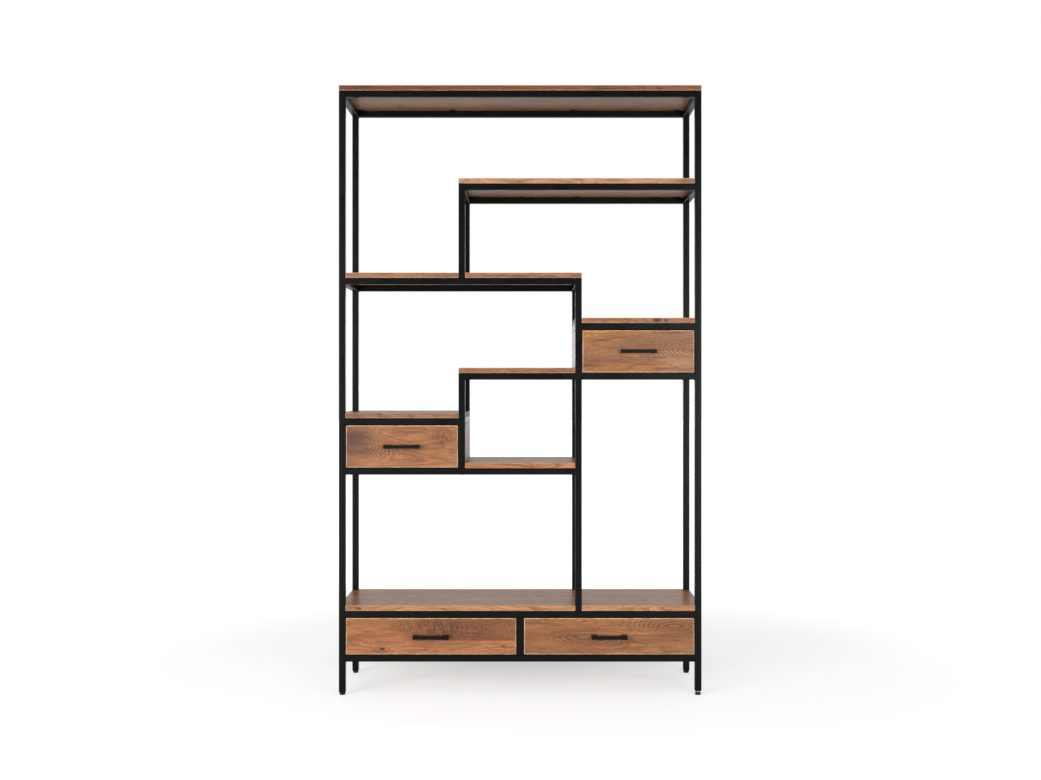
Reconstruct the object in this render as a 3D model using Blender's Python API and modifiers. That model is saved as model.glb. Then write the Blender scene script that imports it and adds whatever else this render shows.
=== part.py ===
"""Tall open bookcase: a welded frame of square steel tube, solid mango boards and four drawers on slides.

Metres, +Z up. The origin is the middle of the footprint on the floor, and -Y is the front, where the
drawer pulls stand out. Levels are named from the floor up: base drawers, bottom shelf, left cell (a drawer
cell) beside the low shelf, middle shelf beside the right cell (a drawer cell), left shelf, right shelf, top.
"""

import bmesh
import bpy
from mathutils import Matrix, Vector

# Overall plan
WIDTH = 1.100
DEPTH = 0.350
LEFT_COLUMN = 0.343  # clear width between the left posts and the dividers
RIGHT_COLUMN = 0.343  # clear width between the middle posts and the right posts
TUBE = 0.020  # side of the square tube
TUBE_WALL = 0.0012
BOARD = 0.016  # thickness of shelves, top and drawer fronts

# Clear heights between one level's rails and the next, from the floor up
FLOOR_CLEARANCE = 0.1015
BASE_OPENING = 0.114
LOWER_BAY = 0.413
CELL_OPENING = 0.1315
STEP = 0.117
RIGHT_BAY = 0.2665
TOP_BAY = 0.262

# Panels round the drawers
BACK_PANEL = 0.009

# Drawers
FRONT_GAP_SIDE = 0.002
FRONT_GAP_LEVEL = 0.002
BOX_WALL = 0.012
BOX_ABOVE_FRONT_EDGE = 0.012  # the box starts this far above the front's lower edge
BOX_BELOW_FRONT_EDGE = 0.018  # and ends this far below its upper edge
BOX_REAR_CLEARANCE = 0.022
BOTTOM_PLY = 0.005
BOTTOM_RECESS = 0.008  # from the box's lower edge up to the bottom panel
GROOVE_DEPTH = 0.005

# Slides, one pair to a drawer
SLIDE_SPACE = 0.0127
SLIDE_METAL = 0.0012
SLIDE_OUTER_HEIGHT = 0.035
SLIDE_CHANNEL = 0.0085  # depth of each channel across the slide
SLIDE_RUNNING_GAP = 0.0005  # above and below the inner channel
SLIDE_SETBACK = 0.006  # from the drawer front's rear face to the fixed channel

# Pulls
PULL_LENGTH = 0.109
PULL_REACH = 0.028
PULL_BAR = 0.0106  # height and thickness of the bar
PULL_FOOT_WIDTH = 0.018
PULL_FOOT_HEIGHT = 0.0112

# Levelling feet
PAD_RADIUS = 0.0088
PAD_HEIGHT = 0.008
PAD_CHAMFER = 0.002
STEM_RADIUS = 0.004
STEM_LENGTH = 0.030
STEM_HOLE_CLEARANCE = 0.0003
LOCK_NUT_RADIUS = 0.0068
LOCK_NUT_HEIGHT = 0.0045  # only on the front right foot, which is wound out
NUT_PLATE = 0.004  # plate with the foot's thread, inside each leg's lower end
FOOT_SIDES = 24

GAP = 0.0003  # between solids that touch
WELD_BITE = TUBE_WALL / 2  # how far a butted tube runs into the wall that it is welded to
DRAIN_HOLE = 0.005
OVERCUT = 0.010  # how far a cutter runs past an open face

# Lines across the width: the left edge of each upright
LEFT_POST = -WIDTH / 2
DIVIDER = LEFT_POST + TUBE + LEFT_COLUMN
RIGHT_POST = WIDTH / 2 - TUBE
MIDDLE_POST = RIGHT_POST - RIGHT_COLUMN - TUBE
BASE_DIVIDER = -TUBE / 2

# Lines from front to back. The pulls count in the footprint, so the frame sits behind its middle.
FRONT = -(DEPTH + PULL_REACH) / 2 + PULL_REACH
BACK = FRONT + DEPTH
FRONT_INNER = FRONT + TUBE
BACK_INNER = BACK - TUBE

# Lower faces of the rails, from the floor up
BASE_RAIL = FLOOR_CLEARANCE
BOTTOM_RAIL = BASE_RAIL + TUBE + BASE_OPENING
LOW_RAIL = BOTTOM_RAIL + TUBE + LOWER_BAY
LEFT_CELL_RAIL = LOW_RAIL + TUBE + CELL_OPENING
MIDDLE_RAIL = LEFT_CELL_RAIL + TUBE + STEP
RIGHT_CELL_RAIL = MIDDLE_RAIL + TUBE + CELL_OPENING
LEFT_SHELF_RAIL = RIGHT_CELL_RAIL + TUBE + STEP
RIGHT_SHELF_RAIL = LEFT_SHELF_RAIL + TUBE + RIGHT_BAY
TOP_RAIL = RIGHT_SHELF_RAIL + TUBE + TOP_BAY
TOP_OF_FRAME = TOP_RAIL + TUBE

# Colour, roughness, metallic
BLACK_STEEL = ((0.010, 0.010, 0.011), 0.42, 0.0)
BLACK_PULL = ((0.008, 0.008, 0.009), 0.38, 0.0)
MANGO = ((0.38, 0.17, 0.08), 0.50, 0.0)
MANGO_DARK = ((0.27, 0.13, 0.07), 0.52, 0.0)
PLYWOOD = ((0.50, 0.36, 0.22), 0.60, 0.0)
BLACK_ZINC = ((0.06, 0.06, 0.065), 0.35, 1.0)
BLACK_PLASTIC = ((0.012, 0.012, 0.012), 0.55, 0.0)


def collection(name):
    found = bpy.data.collections.new(name)
    bpy.context.scene.collection.children.link(found)
    return found


for leftover in list(bpy.data.objects):
    bpy.data.objects.remove(leftover)
PARTS = collection("open_bookcase")
CUTTERS = collection("cutters")


def add(name, mesh, location, finish=None, parent=None):
    """Puts a mesh in the scene as a part, or as a cutter where it has no finish."""
    piece = bpy.data.objects.new(name, mesh)
    piece.location = location
    if parent:
        piece.parent = parent
        piece.matrix_parent_inverse = Matrix.Translation(-parent.location)
    if finish is None:
        CUTTERS.objects.link(piece)
        piece.hide_render = True
        piece.display_type = "WIRE"
        return piece
    PARTS.objects.link(piece)
    colour, roughness, metallic = finish
    material = bpy.data.materials.new(name + "_finish")
    material.use_nodes = True
    shader = material.node_tree.nodes["Principled BSDF"]
    shader.inputs["Base Color"].default_value = (*colour, 1.0)
    shader.inputs["Roughness"].default_value = roughness
    shader.inputs["Metallic"].default_value = metallic
    mesh.materials.append(material)
    return piece


def block(name, low, high, finish=None, parent=None):
    """A square-edged block between two corners."""
    size = [b - a for a, b in zip(low, high)]
    mesh = bpy.data.meshes.new(name)
    shape = bmesh.new()
    bmesh.ops.create_cube(shape, size=1.0, matrix=Matrix.Diagonal((*size, 1.0)))
    shape.to_mesh(mesh)
    shape.free()
    middle = [(a + b) / 2 for a, b in zip(low, high)]
    return add(name, mesh, middle, finish, parent)


def rod(name, foot, radius, length, sides=FOOT_SIDES):
    """An upright round cutter, from its foot up."""
    mesh = bpy.data.meshes.new(name)
    shape = bmesh.new()
    bmesh.ops.create_cone(
        shape, cap_ends=True, segments=sides, radius1=radius, radius2=radius, depth=length
    )
    shape.to_mesh(mesh)
    shape.free()
    return add(name, mesh, (foot[0], foot[1], foot[2] + length / 2))


def combine(piece, operation, others):
    """A Boolean of the piece with every object in a list."""
    group = bpy.data.collections.new(piece.name + "_" + operation.lower())
    CUTTERS.children.link(group)
    for other in others:
        CUTTERS.objects.unlink(other)
        group.objects.link(other)
    boolean = piece.modifiers.new(operation.title(), "BOOLEAN")
    boolean.operation = operation
    boolean.operand_type = "COLLECTION"
    boolean.collection = group


# ---- Frame -------------------------------------------------------------------------------------


def tube(axis, low, length, start, end):
    """One tube of a frame: its axis (0, 1 or 2), low corner and length, and what is at each of its ends.

    "weld" butts on a tube of the same frame, "seat" meets a tube of another one, and "open" ends flush.
    """
    return axis, low, length, start, end


def tube_block(name, piece, inset, reach, finish=None):
    """A block along a tube, inset from its four sides. reach gives how far it runs past each kind of end."""
    axis, low, length, start, end = piece
    lowest = [value + inset for value in low]
    highest = [value + TUBE - inset for value in low]
    lowest[axis] = low[axis] - reach[start]
    highest[axis] = low[axis] + length + reach[end]
    return block(name, lowest, highest, finish)


def weld_up(name, tubes, plates=()):
    """Hollow tubes welded into one frame. plates lists the legs closed by a threaded plate, by leg foot."""
    outside = {"weld": WELD_BITE, "seat": -GAP, "open": 0.0, "foot": 0.0}
    inside = {"weld": 0.0, "seat": TUBE, "open": TUBE, "foot": -NUT_PLATE}
    frame = tube_block(name, tubes[0], 0.0, outside, BLACK_STEEL)
    others = [tube_block(f"{name}_tube_{i}", t, 0.0, outside) for i, t in enumerate(tubes[1:], 2)]
    combine(frame, "UNION", others)
    bores = [tube_block(f"{name}_bore_{i}", t, TUBE_WALL, inside) for i, t in enumerate(tubes, 1)]
    for i, (axis, low, length, start, end) in enumerate(tubes, 1):
        if start == end == "weld":
            # A drain hole through the lower wall, or through an upright's wall that faces into the case
            middle = [value + TUBE / 2 for value in low]
            middle[axis] = low[axis] + TUBE
            wall = 1 if axis == 2 else 2
            middle[wall] = low[wall] + (TUBE if axis == 2 and low[1] == FRONT else 0.0)
            reach = [DRAIN_HOLE / 2] * 3
            reach[wall] = TUBE / 4
            corners = [[m + way * r for m, r in zip(middle, reach)] for way in (-1, 1)]
            bores.append(block(f"{name}_drain_{i}", *corners))
    for i, (x, y, z) in enumerate(plates, 1):
        hole = STEM_RADIUS + STEM_HOLE_CLEARANCE
        bores.append(rod(f"{name}_thread_{i}", (x, y, z - NUT_PLATE), hole, 3 * NUT_PLATE))
    combine(frame, "DIFFERENCE", bores)


def post(x, y, foot, head, start="seat", end="open"):
    return tube(2, (x, y, foot), head - foot, start, end)


def rail_pair(left, right, level, start, end):
    """The front and back rails of one level, between two clear edges across the width."""
    return [tube(0, (left, y, level), right - left, start, end) for y in (FRONT, BACK_INNER)]


def cross(x, level, start="weld", end="weld"):
    """A rail from a front post to the back post behind it."""
    return tube(1, (x, FRONT_INNER, level), BACK_INNER - FRONT_INNER, start, end)


def leg_foot(x, y):
    """Where a corner post ends above the floor. The front right foot is wound out on its lock nut."""
    wound_out = LOCK_NUT_HEIGHT if (x, y) == (RIGHT_POST, FRONT) else 0.0
    return PAD_HEIGHT + wound_out + GAP


def leg_axis(x, y):
    return x + TUBE / 2, y + TUBE / 2


CORNERS = {
    "front_left": (LEFT_POST, FRONT),
    "front_right": (RIGHT_POST, FRONT),
    "rear_left": (LEFT_POST, BACK_INNER),
    "rear_right": (RIGHT_POST, BACK_INNER),
}


def make_main_frame():
    """The four corner posts with the cross rails of both ends and the top rails."""
    tubes, plates = [], []
    for x, y in CORNERS.values():
        foot = leg_foot(x, y)
        tubes.append(tube(2, (x, y, foot), TOP_OF_FRAME - foot, "foot", "open"))
        plates.append((*leg_axis(x, y), foot))
    tubes += rail_pair(LEFT_POST + TUBE, RIGHT_POST, TOP_RAIL, "weld", "weld")
    left_levels = (BASE_RAIL, BOTTOM_RAIL, LOW_RAIL, LEFT_CELL_RAIL, LEFT_SHELF_RAIL, TOP_RAIL)
    right_levels = (BASE_RAIL, BOTTOM_RAIL, MIDDLE_RAIL, RIGHT_CELL_RAIL, RIGHT_SHELF_RAIL, TOP_RAIL)
    tubes += [cross(LEFT_POST, level) for level in left_levels]
    tubes += [cross(RIGHT_POST, level) for level in right_levels]
    weld_up("main_frame", tubes, plates)


def make_right_shelf_frame():
    """The dividers that stand on the left shelf's rails, and the right shelf's rails."""
    foot = LEFT_SHELF_RAIL + TUBE
    tubes = [post(DIVIDER, y, foot, RIGHT_SHELF_RAIL + TUBE) for y in (FRONT, BACK_INNER)]
    tubes += rail_pair(DIVIDER + TUBE, RIGHT_POST, RIGHT_SHELF_RAIL, "weld", "seat")
    tubes.append(cross(DIVIDER, RIGHT_SHELF_RAIL))
    weld_up("right_shelf_frame", tubes)


def make_centre_frame():
    """The middle posts, with the left shelf's rails and the right cell's rails."""
    foot = BOTTOM_RAIL + TUBE
    tubes = [post(MIDDLE_POST, y, foot, LEFT_SHELF_RAIL + TUBE) for y in (FRONT, BACK_INNER)]
    tubes += rail_pair(LEFT_POST + TUBE, MIDDLE_POST, LEFT_SHELF_RAIL, "seat", "weld")
    for level in (RIGHT_CELL_RAIL, MIDDLE_RAIL):
        tubes += rail_pair(MIDDLE_POST + TUBE, RIGHT_POST, level, "weld", "seat")
    levels = (LEFT_SHELF_RAIL, RIGHT_CELL_RAIL, MIDDLE_RAIL, LOW_RAIL)
    tubes += [cross(MIDDLE_POST, level) for level in levels]
    weld_up("centre_frame", tubes)


def make_left_cell_frame():
    """The dividers under the middle shelf, with the middle shelf's, left cell's and low shelf's rails."""
    foot = LOW_RAIL + TUBE
    tubes = [post(DIVIDER, y, foot, MIDDLE_RAIL + TUBE, "weld") for y in (FRONT, BACK_INNER)]
    tubes += rail_pair(DIVIDER + TUBE, MIDDLE_POST, MIDDLE_RAIL, "weld", "seat")
    tubes += rail_pair(LEFT_POST + TUBE, DIVIDER, LEFT_CELL_RAIL, "seat", "weld")
    tubes += rail_pair(LEFT_POST + TUBE, MIDDLE_POST, LOW_RAIL, "seat", "seat")
    levels = (MIDDLE_RAIL, LEFT_CELL_RAIL, LOW_RAIL)
    tubes += [cross(DIVIDER, level) for level in levels]
    weld_up("left_cell_frame", tubes)


def make_base_frame():
    """The rails above and below the base drawers, their divider and the bearer of the inner slides."""
    tubes = []
    for level in (BOTTOM_RAIL, BASE_RAIL):
        tubes += rail_pair(LEFT_POST + TUBE, RIGHT_POST, level, "seat", "seat")
        tubes.append(cross(BASE_DIVIDER, level))
    tubes.append(cross(MIDDLE_POST, BOTTOM_RAIL))
    for y in (FRONT, BACK_INNER):
        tubes.append(post(BASE_DIVIDER, y, BASE_RAIL + TUBE, BOTTOM_RAIL, "weld", "weld"))
    bearer = BASE_RAIL + TUBE + BASE_OPENING / 2 - TUBE / 2
    tubes.append(cross(BASE_DIVIDER, bearer))
    weld_up("base_frame", tubes)


# ---- Boards and panels ---------------------------------------------------------------------------


def make_board(name, left, right, rail, posts=()):
    """A board on a pair of rails, flush with the frame, cut round the posts that pass it."""
    low = (left, FRONT, rail + TUBE + GAP)
    board = block(name, low, (right, BACK, rail + TUBE + BOARD), MANGO)
    notches = []
    for i, x in enumerate(posts, 1):
        for end, y in (("front", FRONT), ("rear", BACK_INNER)):
            corner = (x - GAP, y - GAP, low[2] - OVERCUT)
            far = (x + TUBE + GAP, y + TUBE + GAP, low[2] + BOARD + OVERCUT)
            notches.append(block(f"{name}_notch_{end}_{i}", corner, far))
    if notches:
        combine(board, "DIFFERENCE", notches)


def make_side_panel(cell, x, floor, ceiling):
    """A panel as thick as the posts that it stands between: outer at the corner posts, inner elsewhere."""
    name = cell + ("_outer_panel" if x in (LEFT_POST, RIGHT_POST) else "_inner_panel")
    low = (x, FRONT_INNER + GAP, floor + GAP)
    block(name, low, (x + TUBE, BACK_INNER - GAP, ceiling - GAP), MANGO_DARK)


def make_back_panel(name, left, right, floor, ceiling):
    low = (left + GAP, BACK_INNER, floor + GAP)
    block(name, low, (right - GAP, BACK_INNER + BACK_PANEL, ceiling - GAP), PLYWOOD)


# ---- Drawers -------------------------------------------------------------------------------------


def make_channel(name, low, high, opens_right, finish, parent=None):
    """A slide member: a steel channel along Y, open to its right or to its left."""
    channel = block(name, low, high, finish, parent)
    hollow_low = [low[0], low[1] - OVERCUT, low[2] + SLIDE_METAL]
    hollow_high = [high[0], high[1] + OVERCUT, high[2] - SLIDE_METAL]
    if opens_right:
        hollow_low[0] += SLIDE_METAL
        hollow_high[0] += OVERCUT
    else:
        hollow_low[0] -= OVERCUT
        hollow_high[0] -= SLIDE_METAL
    combine(channel, "DIFFERENCE", [block(name + "_hollow", hollow_low, hollow_high)])


def make_slides(name, left, right, middle, slide):
    """One drawer's slides: on each side a runner on the case, and a slider inside it on the drawer box."""
    start = FRONT + BOARD + SLIDE_SETBACK
    end = BACK_INNER - BOX_REAR_CLEARANCE
    outer = SLIDE_OUTER_HEIGHT / 2
    inner = outer - SLIDE_METAL - SLIDE_RUNNING_GAP
    near, far = GAP, GAP + SLIDE_CHANNEL
    box_far = SLIDE_SPACE - GAP
    box_near = box_far - SLIDE_CHANNEL
    for side, edge, way in (("left", left, 1), ("right", right, -1)):
        fixed = sorted((edge + way * near, edge + way * far))
        riding = sorted((edge + way * box_near, edge + way * box_far))
        low, high = (fixed[0], start, middle - outer), (fixed[1], end, middle + outer)
        make_channel(f"{name}_runner_{side}", low, high, way > 0, BLACK_ZINC)
        low, high = (riding[0], start, middle - inner), (riding[1], end, middle + inner)
        make_channel(f"{name}_slider_{side}", low, high, way < 0, BLACK_ZINC, slide)


def make_pull(name, x, z, slide):
    """A square bar on two thicker feet, standing out from the middle of the drawer front."""
    face = FRONT - PULL_REACH
    half = PULL_LENGTH / 2
    low = (x - half + PULL_BAR / 2, face, z - PULL_BAR / 2)
    high = (x + half - PULL_BAR / 2, face + PULL_BAR, z + PULL_BAR / 2)
    pull = block(name, low, high, BLACK_PULL, slide)
    feet = []
    for side, inner in (("left", x - half), ("right", x + half - PULL_FOOT_WIDTH)):
        low = (inner, face, z - PULL_FOOT_HEIGHT / 2)
        high = (inner + PULL_FOOT_WIDTH, FRONT - GAP, z + PULL_FOOT_HEIGHT / 2)
        feet.append(block(f"{name}_foot_{side}", low, high))
    combine(pull, "UNION", feet)


def make_drawer(cell, left, right, floor, ceiling):
    """A drawer in the opening between two uprights and two rails, with its pull and slides."""
    name = cell + "_drawer"
    slide = bpy.data.objects.new(name + "_joint", None)
    slide.location = ((left + right) / 2, FRONT, (floor + ceiling) / 2)
    PARTS.objects.link(slide)

    front_low, front_high = floor + FRONT_GAP_LEVEL, ceiling - FRONT_GAP_LEVEL
    low = (left + FRONT_GAP_SIDE, FRONT, front_low)
    high = (right - FRONT_GAP_SIDE, FRONT + BOARD, front_high)
    block(name + "_front", low, high, MANGO, slide)

    low = Vector((left + SLIDE_SPACE, FRONT + BOARD + GAP, front_low + BOX_ABOVE_FRONT_EDGE))
    high = Vector((right - SLIDE_SPACE, BACK_INNER - BOX_REAR_CLEARANCE, front_high - BOX_BELOW_FRONT_EDGE))
    box = block(name + "_box", low, high, MANGO_DARK, slide)
    wall = Vector((BOX_WALL, BOX_WALL, 0.0))
    past = Vector((0.0, 0.0, OVERCUT))
    inside = block(name + "_box_inside", low + wall - past, high - wall + past)
    groove = Vector((GROOVE_DEPTH, GROOVE_DEPTH, 0.0))
    lift = Vector((0.0, 0.0, BOTTOM_RECESS))
    ply_low = low + wall - groove + lift
    ply_high = high - wall + groove
    ply_high.z = ply_low.z + BOTTOM_PLY
    room = Vector((GAP, GAP, GAP))
    combine(box, "DIFFERENCE", [inside, block(name + "_box_groove", ply_low - room, ply_high + room)])
    block(name + "_bottom", ply_low, ply_high, PLYWOOD, slide)

    middle = slide.location.z
    make_pull(name + "_pull", slide.location.x, middle, slide)
    make_slides(cell, left, right, middle, slide)


# ---- Feet ----------------------------------------------------------------------------------------


def make_foot(name, x, y):
    """A levelling foot turned in one profile: threaded stem, lock nut where it is wound out, and pad."""
    under_leg = leg_foot(x, y) - GAP
    top = under_leg + GAP + STEM_LENGTH
    profile = [(0.0, top), (STEM_RADIUS, top)]
    if under_leg > PAD_HEIGHT:
        profile += [(STEM_RADIUS, under_leg), (LOCK_NUT_RADIUS, under_leg), (LOCK_NUT_RADIUS, PAD_HEIGHT)]
    else:
        profile.append((STEM_RADIUS, PAD_HEIGHT))
    profile += [(PAD_RADIUS, PAD_HEIGHT), (PAD_RADIUS, PAD_CHAMFER)]
    profile += [(PAD_RADIUS - PAD_CHAMFER, 0.0), (0.0, 0.0)]
    mesh = bpy.data.meshes.new(name)
    edges = [(i, i + 1) for i in range(len(profile) - 1)]
    mesh.from_pydata([(radius, 0.0, height) for radius, height in profile], edges, [])
    foot = add(name, mesh, (*leg_axis(x, y), 0.0), BLACK_PLASTIC)
    turning = foot.modifiers.new("Turning", "SCREW")
    turning.steps = turning.render_steps = FOOT_SIDES
    turning.use_merge_vertices = True
    turning.merge_threshold = 0.00005
    turning.use_smooth_shade = False


# ---- The bookcase --------------------------------------------------------------------------------

LEFT_END, RIGHT_END = LEFT_POST, RIGHT_POST + TUBE

make_main_frame()
make_right_shelf_frame()
make_centre_frame()
make_left_cell_frame()
make_base_frame()

make_board("top_board", LEFT_END, RIGHT_END, TOP_RAIL)
make_board("right_shelf", DIVIDER, RIGHT_END, RIGHT_SHELF_RAIL, [RIGHT_POST])
make_board("left_shelf", LEFT_END, MIDDLE_POST + TUBE, LEFT_SHELF_RAIL, [LEFT_POST, DIVIDER])
make_board("right_cell_lid", MIDDLE_POST, RIGHT_END, RIGHT_CELL_RAIL, [MIDDLE_POST, RIGHT_POST])
make_board("middle_shelf", DIVIDER, MIDDLE_POST - GAP, MIDDLE_RAIL)
make_board("left_cell_lid", LEFT_END, DIVIDER + TUBE, LEFT_CELL_RAIL, [LEFT_POST, DIVIDER])
make_board("low_shelf", DIVIDER + TUBE + GAP, MIDDLE_POST + TUBE, LOW_RAIL, [MIDDLE_POST])
make_board("bottom_shelf", LEFT_END, RIGHT_END, BOTTOM_RAIL, [LEFT_POST, MIDDLE_POST, RIGHT_POST])

# Each drawer's opening: left and right edges, then the faces below and above
OPENINGS = {
    "right_cell": (MIDDLE_POST + TUBE, RIGHT_POST, MIDDLE_RAIL + TUBE, RIGHT_CELL_RAIL),
    "left_cell": (LEFT_POST + TUBE, DIVIDER, LOW_RAIL + TUBE, LEFT_CELL_RAIL),
    "base_left": (LEFT_POST + TUBE, BASE_DIVIDER, BASE_RAIL + TUBE, BOTTOM_RAIL),
    "base_right": (BASE_DIVIDER + TUBE, RIGHT_POST, BASE_RAIL + TUBE, BOTTOM_RAIL),
}
for cell, (left, right, floor, ceiling) in OPENINGS.items():
    if left - TUBE != BASE_DIVIDER:
        make_side_panel(cell, left - TUBE, floor, ceiling)
    if right != BASE_DIVIDER:
        make_side_panel(cell, right, floor, ceiling)
    make_back_panel(cell + "_back_panel", left, right, floor, ceiling)
    make_drawer(cell, left, right, floor, ceiling)

for corner, (x, y) in CORNERS.items():
    make_foot("foot_" + corner, x, y)
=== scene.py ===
"""Open bookcase with drawers: the finished look of a welded black steel frame with mango boards.

Metres, +Z up, -Y is the front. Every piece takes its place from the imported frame. Each operator
makes one piece or one group of like pieces, and main() calls them in order.
"""

import math
from functools import cache, partial

import bmesh
import bpy
from bpy.props import FloatProperty, FloatVectorProperty, IntProperty, PointerProperty
from mathutils import Matrix, Vector


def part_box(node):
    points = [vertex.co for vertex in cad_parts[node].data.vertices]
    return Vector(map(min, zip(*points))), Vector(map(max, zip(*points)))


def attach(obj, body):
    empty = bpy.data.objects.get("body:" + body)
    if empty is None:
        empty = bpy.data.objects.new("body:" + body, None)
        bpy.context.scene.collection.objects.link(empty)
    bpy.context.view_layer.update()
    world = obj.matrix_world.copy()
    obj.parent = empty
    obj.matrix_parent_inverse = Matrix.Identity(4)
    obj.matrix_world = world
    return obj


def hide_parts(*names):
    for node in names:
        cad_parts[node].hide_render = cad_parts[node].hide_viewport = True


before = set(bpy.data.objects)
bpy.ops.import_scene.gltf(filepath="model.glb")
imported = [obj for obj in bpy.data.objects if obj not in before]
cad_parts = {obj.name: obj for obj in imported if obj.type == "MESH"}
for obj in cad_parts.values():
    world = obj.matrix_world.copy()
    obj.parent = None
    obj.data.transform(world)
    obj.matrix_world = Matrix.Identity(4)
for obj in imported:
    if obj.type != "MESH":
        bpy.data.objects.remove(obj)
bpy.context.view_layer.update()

bl_info = {
    "name": "Open Bookcase",
    "version": (1, 0, 0),
    "blender": (4, 5, 0),
    "location": "3D View > Sidebar > Bookcase",
    "description": "Makes a tall open bookcase: welded frame, boards, drawers, slides and feet",
    "category": "Add Mesh",
}

CASE = "case"
CELLS = ("right_cell", "left_cell", "base_left", "base_right")

# Lines of the frame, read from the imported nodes
GAP = 0.0003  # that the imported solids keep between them
POST_LOW, POST_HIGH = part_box("main_frame")
PANEL_LOW, PANEL_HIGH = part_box("base_left_outer_panel")
TUBE = PANEL_HIGH.x - PANEL_LOW.x
FRONT, BACK = POST_LOW.y, POST_HIGH.y
FRONT_INNER, BACK_INNER = FRONT + TUBE, BACK - TUBE
LEFT_POST, RIGHT_POST = POST_LOW.x, POST_HIGH.x - TUBE
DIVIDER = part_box("left_cell_inner_panel")[0].x
MIDDLE_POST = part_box("right_cell_inner_panel")[0].x
BASE_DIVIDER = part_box("base_left_back_panel")[1].x + GAP
BASE_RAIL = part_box("base_frame")[0].z


def rail_under(board):
    """The lower face of the rails that carry a board."""
    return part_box(board)[0].z - GAP - TUBE


BOTTOM_RAIL = rail_under("bottom_shelf")
LOW_RAIL = rail_under("low_shelf")
LEFT_CELL_RAIL = rail_under("left_cell_lid")
MIDDLE_RAIL = rail_under("middle_shelf")
RIGHT_CELL_RAIL = rail_under("right_cell_lid")
LEFT_SHELF_RAIL = rail_under("left_shelf")
RIGHT_SHELF_RAIL = rail_under("right_shelf")
TOP_RAIL = rail_under("top_board")


def linear(code):
    """Linear RGB and full alpha from an sRGB hex code."""
    parts = [int(code[i : i + 2], 16) / 255 for i in (1, 3, 5)]
    return (*(c / 12.92 if c <= 0.04045 else ((c + 0.055) / 1.055) ** 2.4 for c in parts), 1.0)


# ---- Settings ---------------------------------------------------------------


def length(name, description, size):
    return FloatProperty(name=name, description=description, default=size, min=0.0, unit="LENGTH")


def colour(name, description, code):
    shown = {"size": 4, "min": 0.0, "max": 1.0, "subtype": "COLOR"}
    return FloatVectorProperty(name=name, description=description, default=linear(code), **shown)


class SteelSettings(bpy.types.PropertyGroup):
    """Sizes and colour of the welded steel."""

    corner_radius: length("Tube corner radius", "Outer radius of the square tube's corners", 0.0017)
    bead: length("Weld bead", "Radius of the fillet weld under each rail's end", 0.0016)
    tab_width: length("Fixing tab width", "Width of each tab that a board is screwed to", 0.018)
    tab_reach: length("Fixing tab reach", "How far each tab stands out from its rail", 0.016)
    coat: colour("Powder coat", "Colour of the powder coat on the frame", "#0A0B0C")
    pull_coat: colour("Pull coat", "Colour of the powder coat on the pulls", "#0E0E0F")


class WoodSettings(bpy.types.PropertyGroup):
    """Sizes and colours of the mango wood."""

    arris: length("Board arris", "Rounding of the boards' edges", 0.0009)
    front_arris: length("Front arris", "Rounding of the drawer fronts' edges", 0.0021)
    stave: length("Stave width", "Width of the strips that a board is glued up from", 0.085)
    grain: colour("Dark grain", "Colour of the growth rings' dark lines", "#5C3620")
    # The arris colour is both sanded-through wood and a painted highlight along the edges.
    worn_and_highlight: colour("Sanded arris", "Colour where the sander has cut through the stain", "#EBCBA8")
    ply: colour("Plywood", "Colour of the plywood's face", "#B98F63")


class DrawerSettings(bpy.types.PropertyGroup):
    """Sizes inside the drawers."""

    wall: length("Box wall", "Thickness of the drawer box's sides", 0.012)
    screw: length("Screw head", "Diameter of the pan-head screws", 0.0075)
    nails: IntProperty(name="Nails", description="Nails in each box corner", default=3, min=1)


SETTINGS = {"steel": SteelSettings, "wood": WoodSettings, "drawer": DrawerSettings}


class BookcaseSettings(bpy.types.PropertyGroup):
    """All settings of the bookcase."""

    steel: PointerProperty(type=SteelSettings)
    wood: PointerProperty(type=WoodSettings)
    drawer: PointerProperty(type=DrawerSettings)


# ---- Materials --------------------------------------------------------------


def fill(node, inputs):
    """Sets each socket to its value, or links it to the node or socket that is given for it."""
    for key, value in inputs.items():
        if isinstance(value, bpy.types.Node):
            value = value.outputs[0]
        if isinstance(value, bpy.types.NodeSocket):
            node.id_data.links.new(value, node.inputs[key])
        else:
            node.inputs[key].default_value = value


def add_node(tree, kind, inputs, stops=(), **settings):
    """Adds a shader node with its settings and links.

    stops are the (position, colour) pairs of a colour ramp, in order.
    """
    made = tree.nodes.new("ShaderNode" + kind)
    for key, value in settings.items():
        setattr(made, key, value)
    fill(made, inputs)
    for i, (position, shade) in enumerate(stops):
        elements = made.color_ramp.elements
        element = elements[i] if i < 2 else elements.new(position)
        element.position, element.color = position, shade
    return made


def new_material(name):
    """A Principled material, add_node for its tree, its shader, and where a point is, in metres."""
    material = bpy.data.materials.new(name)
    material.use_nodes = True
    add = partial(add_node, material.node_tree)
    place = add("TexCoord", {}).outputs["Object"]
    return material, add, material.node_tree.nodes["Principled BSDF"], place


def powder_coat(name, shade, roughness):
    """Powder-coated steel: a baked polyester skin, flowed out to a satin, slightly pebbled face.

    The eye sees a near black with soft, wide highlights, broken by an orange peel of 1.5 mm.
    """
    material, add, shader, place = new_material(name)
    peel = add("TexNoise", {"Vector": place, "Scale": 1 / 0.0015, "Detail": 1.0})
    cloud = add("TexNoise", {"Vector": place, "Scale": 1 / 0.060, "Detail": 2.0})
    least, most = roughness - 0.05, roughness + 0.06
    uneven = add(
        "MapRange",
        {"Value": cloud, "From Min": 0.3, "From Max": 0.7, "To Min": least, "To Max": most},
    )
    bump = add("Bump", {"Height": peel, "Strength": 0.35, "Distance": 0.00012})
    fill(shader, {"Base Color": shade, "Specular IOR Level": 0.14})
    fill(shader, {"Roughness": uneven, "Normal": bump})
    return material


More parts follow.
